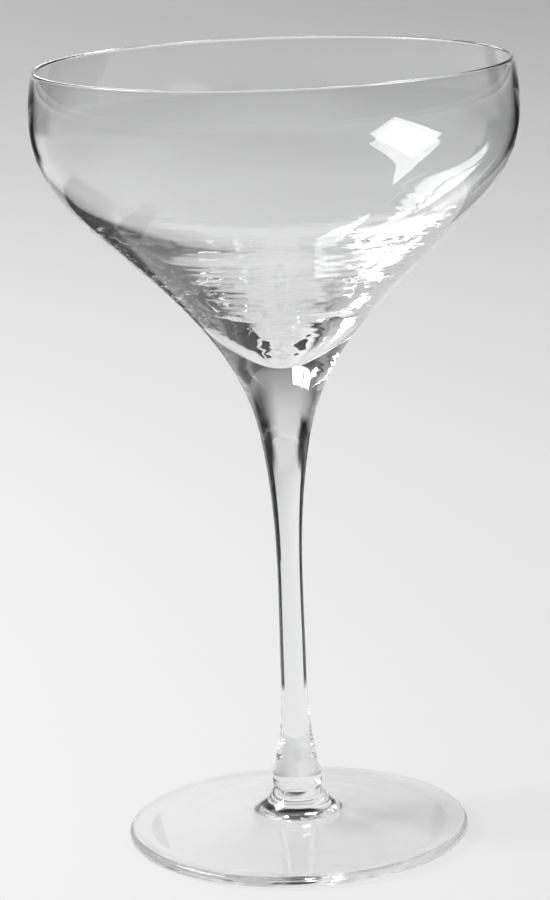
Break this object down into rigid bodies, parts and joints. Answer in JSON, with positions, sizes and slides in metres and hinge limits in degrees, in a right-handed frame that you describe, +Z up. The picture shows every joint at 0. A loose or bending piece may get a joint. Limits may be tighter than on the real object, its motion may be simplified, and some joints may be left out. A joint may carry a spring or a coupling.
{
  "type": "sherbet glass",
  "caption": "Clear sherbet glass: wide shallow bowl with a thin rim on a tall slender drawn stem, fused to a round spread foot; holds a dessert or a drink.",
  "frame": {"origin": "centre of the foot on the plane it rests on", "axes": "+Z up along the glass's axis, towards the rim; the picture is taken from the -Y side"},
  "size_m": [0.1036, 0.1036, 0.17],
  "materials": {
    "bowl_glass": "clear colourless blown glass, polished, faintly rippled low in the bowl",
    "stem_glass": "clear colourless drawn glass, polished",
    "foot_glass": "clear colourless spread glass, polished, faintly wavy"
  },
  "bodies": {
    "root": {"bowl": "bowl_glass", "stem": "stem_glass", "foot": "foot_glass"}
  },
  "joints": []
}
